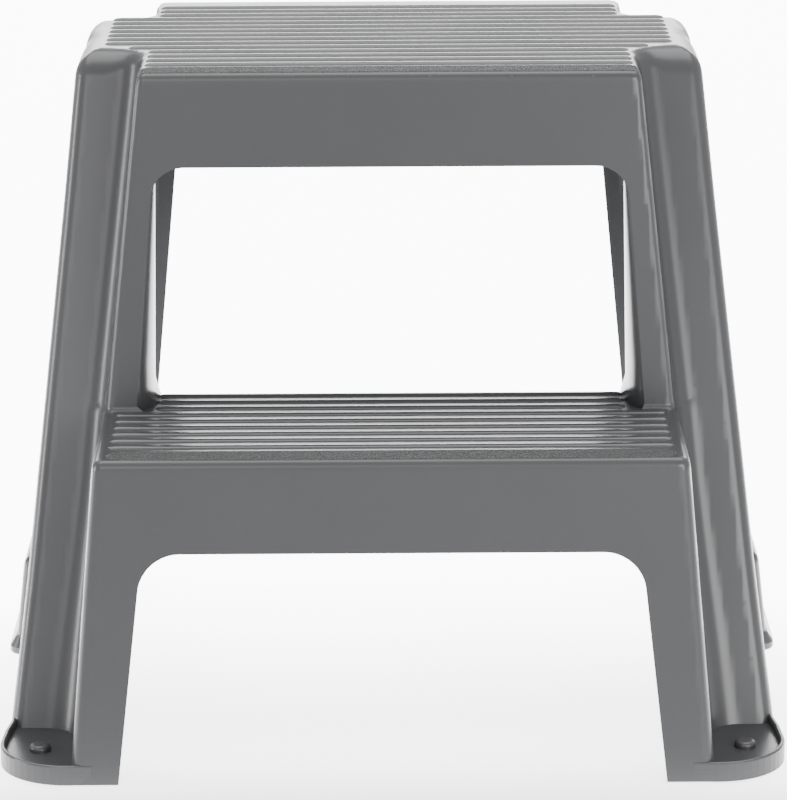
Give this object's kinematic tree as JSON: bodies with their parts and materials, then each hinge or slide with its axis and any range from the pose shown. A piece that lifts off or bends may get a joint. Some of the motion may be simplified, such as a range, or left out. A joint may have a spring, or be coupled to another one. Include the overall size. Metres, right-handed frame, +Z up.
{
  "type": "two-step stool",
  "caption": "Two-step stool moulded in one piece, with ribbed treads, splayed hollow legs, open front, back and sides, and push-in rubber feet.",
  "frame": {"origin": "on the floor, under the middle of the whole stool's box", "axes": "+Z up; the front, with the lower step, faces -Y; +X is to the right as seen from the front"},
  "size_m": [0.4956, 0.4049, 0.402],
  "materials": {
    "body": "glossy moulded polypropylene, cool mid grey, with finely stippled front bands on the treads",
    "feet": "dark grey rubber, slightly shiny"
  },
  "bodies": {
    "root": {"stool_body": "body", "front_left_foot": "feet", "front_right_foot": "feet", "back_left_foot": "feet", "back_right_foot": "feet"}
  },
  "joints": []
}
